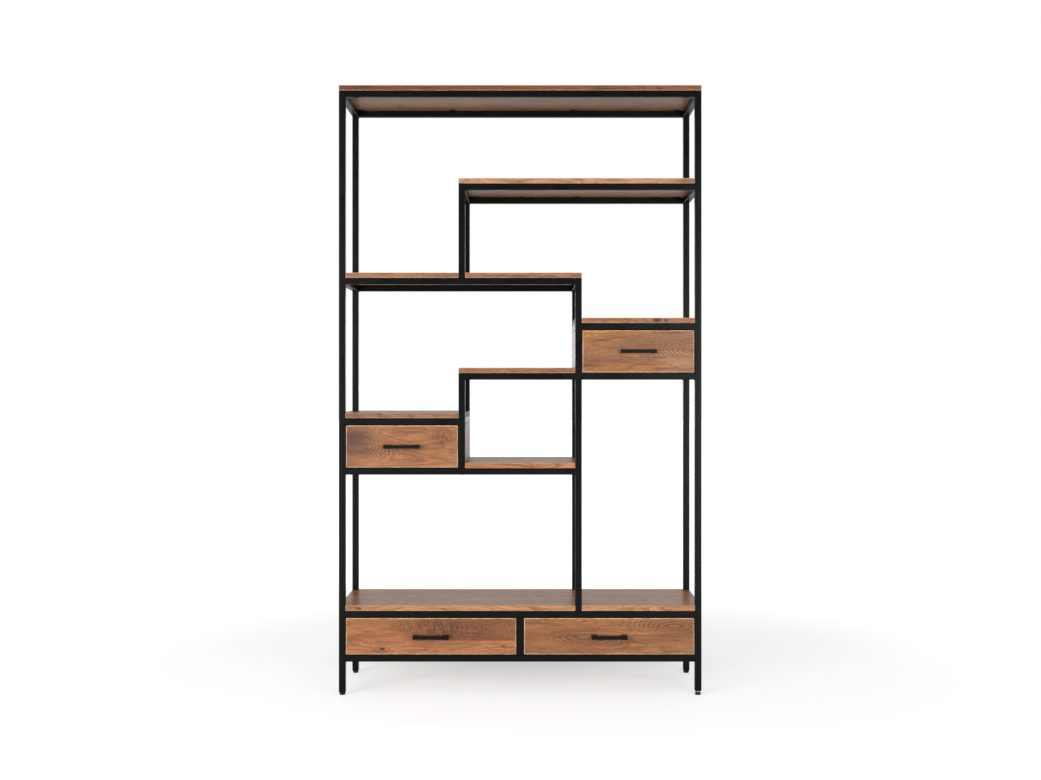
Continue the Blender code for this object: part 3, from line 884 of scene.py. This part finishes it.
# Marks of each front: how far right of its middle and above it, half length and half height.
# A stain adds its colour and strength, and the number of its stave if it ends at the glue line.
FRONT_MARKS = {
    "right_cell": {
        "eyes": [(0.156, 0.0, 0.105, 0.032), (-0.150, -0.030, 0.070, 0.016)],
        "stains": [
            (-0.060, 0.048, 0.150, 0.018, "#AC6D2E", 0.8),
            (0.100, 0.040, 0.080, 0.008, "#AC6D2E", 0.6),
            (-0.040, -0.052, 0.120, 0.012, "#AC6D2E", 0.8),
            (0.070, 0.032, 0.120, 0.026, "#8A5C36", 0.7),
            (-0.100, 0.024, 0.060, 0.012, "#94623A", 0.5),
            (-0.145, 0.052, 0.050, 0.012, "#BC7C3C", 0.8),
            (0.130, -0.024, 0.070, 0.020, "#BC8A60", 0.7),
        ],
    },
    "left_cell": {
        "eyes": [(-0.130, -0.006, 0.080, 0.034)],
        "stains": [
            (-0.160, 0.028, 0.075, 0.030, "#3E291B", 0.85),
            (-0.150, -0.012, 0.060, 0.020, "#523524", 0.6),
            (0.120, 0.030, 0.030, 0.030, "#6D462C", 0.5),
            (0.050, 0.048, 0.120, 0.014, "#97633C", 0.6),
            (-0.165, -0.052, 0.040, 0.016, "#7C5233", 0.7),
        ],
        "curls": [(0.130, 0.030, 0.030, 0.030)],
    },
    "base_left": {
        "stains": [
            (0.0, -0.040, 0.500, 0.060, "#BE7D51", 0.55, -1),
            (0.110, 0.020, 0.170, 0.050, "#6A3C1E", 0.70, 0),
            (-0.148, -0.038, 0.008, 0.004, "#2E170B", 1.0),
            (0.220, -0.030, 0.005, 0.003, "#3A1F0F", 0.9),
        ],
        "curls": [(0.030, 0.026, 0.130, 0.022)],
    },
    "base_right": {
        "eyes": [
            (-0.060, -0.004, 0.120, 0.026),
            (-0.262, 0.0, 0.036, 0.024),
            (0.190, 0.030, 0.110, 0.030),
        ],
        "stains": [
            (0.190, 0.030, 0.090, 0.020, "#8D572F", 0.5),
            (0.050, 0.010, 0.140, 0.014, "#B47A4A", 0.8),
            (-0.170, -0.038, 0.110, 0.014, "#93603A", 0.7),
        ],
    },
}


class BOOKCASE_OT_slides(bpy.types.Operator):
    """Makes the runners and sliders of the drawers, rolled from strip and black zinc plated"""

    bl_idname = "bookcase.slides"
    bl_label = "Drawer slides"

    def execute(self, context):
        for cell in CELLS:
            for side in ("left", "right"):
                for kind, body in (("runner", CASE), ("slider", cell + "_drawer")):
                    node = f"{cell}_{kind}_{side}"
                    remade(node, "_rolled", body, [black_zinc()], ROLLED_EDGE)
        return {"FINISHED"}


# ---- Feet -------------------------------------------------------------------


class BOOKCASE_OT_feet(bpy.types.Operator):
    """Makes the four levelling feet, with a hex lock nut on the one that is wound out"""

    bl_idname = "bookcase.feet"
    bl_label = "Levelling feet"

    def execute(self, context):
        top = PAD_HEIGHT
        for name in CORNER_POSTS:
            node = "foot_" + name
            low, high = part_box(node)
            radius = (high.x - low.x) / 2
            axis = Vector(((low.x + high.x) / 2, (low.y + high.y) / 2, 0.0))
            rim = [(0.0, 0.0), (radius * 0.80, 0.0), (radius * 0.92, 0.0006), (radius, 0.0022)]
            crown = [(radius, 0.0058), (radius - 0.0008, 0.0074), (radius - 0.0018, top)]
            pad = bmesh.new()
            turned(pad, [*rim, *crown, (0.0, top)], axis, sides=48)
            new_piece(node + "_pad", pad, node, [moulded_plastic()], [node])

            stem = bmesh.new()
            if name == "front_right":
                nut = [(0.0, 0.0), (0.0062, 0.0), (0.0068, 0.0005), (0.0068, 0.0040)]
                nut += [(0.0062, 0.0044), (0.0, 0.0044)]
                turned(stem, [(r, top + height) for r, height in nut], axis, sides=6)
            pitch, crest, root = 0.00125, 0.0039, 0.0033
            thread = [(0.0, top - 0.001), (root, top - 0.001)]
            for turn in range(int((high.z - top) / pitch)):
                thread.append((crest, top + (turn + 0.35) * pitch))
                thread.append((root, top + (turn + 0.85) * pitch))
            turned(stem, [*thread, (root, high.z), (0.0, high.z)], axis)
            new_piece(node + "_stem", stem, node, [zinc()])
        return {"FINISHED"}


class BOOKCASE_OT_fixings(bpy.types.Operator):
    """Makes the tabs under the boards with their screws, and the screws of the back panels"""

    bl_idname = "bookcase.fixings"
    bl_label = "Fixing tabs and screws"

    def execute(self, context):
        steel, drawer = context.scene.bookcase.steel, context.scene.bookcase.drawer
        half, head = steel.tab_width / 2, drawer.screw / 2
        # The ends of each board's front rail, and the shares of its length where its tabs are
        spans = {
            "top_board": (LEFT_POST + TUBE, RIGHT_POST, (0.010, 0.291, 0.662, 0.980)),
            "right_shelf": (DIVIDER + TUBE, RIGHT_POST, (0.024, 0.502, 0.970)),
            "left_shelf": (LEFT_POST + TUBE, MIDDLE_POST, (0.03, 0.5, 0.97)),
            "middle_shelf": (DIVIDER + TUBE, MIDDLE_POST, (0.05, 0.95)),
            "low_shelf": (DIVIDER + TUBE, MIDDLE_POST, (0.05, 0.95)),
            "bottom_shelf": (BASE_DIVIDER + TUBE, MIDDLE_POST, (0.08, 0.92)),
        }
        tabs, screws, thick = bmesh.new(), bmesh.new(), 0.0025
        for board, (left, right, shares) in spans.items():
            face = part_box(board)[0].z - GAP
            for share in shares:
                x = left + (right - left) * share
                for y, way in ((FRONT_INNER, 1), (BACK_INNER, -1)):
                    near, far = sorted((y, y + way * steel.tab_reach))
                    low, high = (x - half, near, face - thick), (x + half, far, face)
                    rounded_block(tabs, low, high, 0.0006)
                    middle = (x, y + way * steel.tab_reach * 0.55, face - thick)
                    pan_screw(screws, middle, (0.0, 0.0, -1.0), head)
        new_piece("board_tabs", tabs, CASE, [frame_coat()])
        new_piece("board_screws", screws, CASE, [black_zinc()])

        # Black plates beside the base's divider close the slide space under the runners. They stand
        # in for the shade in that gap, where light would otherwise show through.
        gap_shade_plates, thick, deep = bmesh.new(), 0.003, 0.020
        for cell, side, x, way in (
            ("base_left", "right", BASE_DIVIDER, -1),
            ("base_right", "left", BASE_DIVIDER + TUBE, 1),
        ):
            near, far = sorted((x, x + way * thick))
            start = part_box(cell + "_drawer_front")[1].y + 0.0015
            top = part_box(f"{cell}_runner_{side}")[0].z - 0.001
            rounded_block(gap_shade_plates, (near, start, BASE_RAIL + TUBE), (far, start + deep, top), 0.0005)
        new_piece("base_guide_plates", gap_shade_plates, CASE, [frame_coat()])

        backs, in_x, in_z = bmesh.new(), 0.02, 0.012
        for cell in CELLS:
            low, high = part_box(cell + "_back_panel")
            for x in (low.x + in_x, (low.x + high.x) / 2, high.x - in_x):
                for z in (low.z + in_z, high.z - in_z):
                    pan_screw(backs, (x, high.y, z), (0.0, 1.0, 0.0), head)
        new_piece("back_panel_screws", backs, CASE, [black_zinc()])
        return {"FINISHED"}


# ---- Stage ------------------------------------------------------------------


class BOOKCASE_OT_stage(bpy.types.Operator):
    """Makes the pale floor, the studio light and the camera"""

    bl_idname = "bookcase.stage"
    bl_label = "Stage, light and camera"

    def execute(self, context):
        scene = context.scene
        shape = bmesh.new()
        bmesh.ops.create_grid(shape, x_segments=1, y_segments=1, size=30.0)
        mesh = bpy.data.meshes.new("floor")
        shape.to_mesh(mesh)
        shape.free()
        floor = bpy.data.objects.new("floor", mesh)
        # Matt white acrylic, lit from below, more brightly away from the middle. It looks white
        # all over, and throws up less light than that.
        material, add, shader, place = new_material("matt white acrylic, lit from below")
        away = add("VectorMath", {0: place}, operation="LENGTH").outputs["Value"]
        lit = add(
            "MapRange",
            {"Value": away, "From Min": 1.0, "From Max": 3.2, "To Min": 0.60, "To Max": 0.95},
            interpolation_type="SMOOTHSTEP",
        )
        # Painted shadow: the glow is weaker in an oval under and behind the bookcase, where the
        # bookcase would keep light off the floor.
        shade = {"Location": (0.0, -0.90, 0.0), "Scale": (1.2, 2.5, 1.0)}
        behind = add("Mapping", {"Vector": place, **shade})
        near = add("VectorMath", {0: behind}, operation="LENGTH").outputs["Value"]
        shaded = add(
            "MapRange",
            {"Value": near, "From Min": 0.0, "From Max": 1.0, "To Min": -0.20, "To Max": 0.0},
            interpolation_type="SMOOTHSTEP",
        )
        # The painted shadow darkens the floor's glow.
        lit = add("Math", {0: lit, 1: shaded}, operation="ADD")
        ray = add("LightPath", {}).outputs
        inputs = {0: ray["Is Glossy Ray"], 1: 0.35, 2: ray["Is Camera Ray"]}
        seen = add("Math", inputs, operation="MULTIPLY_ADD")
        glow = add("Math", {0: seen, 1: lit}, operation="MULTIPLY")
        fill(shader, {"Base Color": linear("#E0E0E0"), "Roughness": 0.9})
        fill(shader, {"Emission Color": (1.0, 1.0, 1.0, 1.0), "Emission Strength": glow})
        fill(shader, {"Specular IOR Level": 0.1})
        mesh.materials.append(material)
        scene.collection.objects.link(floor)
        self.light_world(scene)

        aim = Vector((0.0, 0.0, 0.9))
        for name, place, size, watts in (
            ("key", (-2.8, -4.0, 1.15), 2.2, 128.0),
            ("fill", (2.1, -4.3, 1.0), 1.8, 72.0),
        ):
            data = bpy.data.lights.new(name, "AREA")
            data.size, data.energy = size, watts
            lamp = bpy.data.objects.new(name, data)
            lamp.location = place
            lamp.rotation_euler = (aim - Vector(place)).to_track_quat("-Z", "Y").to_euler()
            scene.collection.objects.link(lamp)
        overhead = bpy.data.lights.new("overhead", "SUN")
        overhead.energy, overhead.angle = 0.45, math.radians(60)
        lamp = bpy.data.objects.new("overhead", overhead)
        lamp.rotation_euler = (math.radians(48), 0.0, math.radians(-12))
        scene.collection.objects.link(lamp)

        lens = bpy.data.cameras.new("camera")
        lens.lens, lens.sensor_width = 49.62, 36.0
        lens.shift_x, lens.shift_y = -0.0095, -0.0087
        camera = bpy.data.objects.new("camera", lens)
        camera.location = (0.031, -4.511, 0.953)
        camera.rotation_euler = (math.pi / 2, 0.0, 0.0)
        scene.collection.objects.link(camera)
        scene.camera = camera
        scene.view_settings.view_transform = "Standard"
        return {"FINISHED"}

    def light_world(self, scene):
        """White to the eye all round, but dim as light. Gloss sees it bright behind and low."""
        world = bpy.data.worlds.new("studio")
        scene.world = world
        world.use_nodes = True
        add = partial(add_node, world.node_tree)
        way = add("TexCoord", {}).outputs["Generated"]
        parts = add("SeparateXYZ", {"Vector": way}).outputs
        ray = add("LightPath", {}).outputs
        depth = {"Value": parts["Y"], "From Min": -0.5, "From Max": 0.6}
        glow = add("MapRange", {**depth, "To Min": 0.07, "To Max": 2.00})
        soft = add("MapRange", {**depth, "To Min": 0.20, "To Max": 0.35})
        height = {"Value": parts["Z"], "From Min": 0.02, "From Max": 0.22}
        band = add("MapRange", {**height, "To Min": 1.0, "To Max": 0.22})
        glow = add("Math", {0: glow, 1: band}, operation="MULTIPLY")
        mixed = {"Factor": ray["Is Glossy Ray"], 2: soft, 3: glow}
        shone = add("Mix", mixed, data_type="FLOAT")
        mixed = {"Factor": ray["Is Camera Ray"], 2: shone, 3: 1.0}
        strength = add("Mix", mixed, data_type="FLOAT")
        white = (1.0, 1.0, 1.0, 1.0)
        fill(world.node_tree.nodes["Background"], {"Color": white, "Strength": strength})


# ---- Panel and registration -------------------------------------------------

OPERATORS = (
    BOOKCASE_OT_frames,
    BOOKCASE_OT_boards,
    BOOKCASE_OT_panels,
    BOOKCASE_OT_drawers,
    BOOKCASE_OT_slides,
    BOOKCASE_OT_feet,
    BOOKCASE_OT_fixings,
    BOOKCASE_OT_stage,
)


class BOOKCASE_PT_sidebar(bpy.types.Panel):
    """Lists the bookcase's settings and the steps that make it"""

    bl_idname = "BOOKCASE_PT_sidebar"
    bl_label = "Open Bookcase"
    bl_space_type = "VIEW_3D"
    bl_region_type = "UI"
    bl_category = "Bookcase"

    def draw(self, context):
        for group in SETTINGS:
            settings = getattr(context.scene.bookcase, group)
            box = self.layout.box()
            for name in settings.__annotations__:
                box.prop(settings, name)
        for operator in OPERATORS:
            self.layout.operator(operator.bl_idname)


CLASSES = (*SETTINGS.values(), BookcaseSettings, *OPERATORS, BOOKCASE_PT_sidebar)


def register():
    for cls in CLASSES:
        bpy.utils.register_class(cls)
    bpy.types.Scene.bookcase = PointerProperty(type=BookcaseSettings)


def unregister():
    del bpy.types.Scene.bookcase
    for cls in reversed(CLASSES):
        bpy.utils.unregister_class(cls)


def main():
    register()
    for operator in OPERATORS:
        group, name = operator.bl_idname.split(".")
        getattr(getattr(bpy.ops, group), name)()
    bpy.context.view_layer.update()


if __name__ == "__main__":
    main()
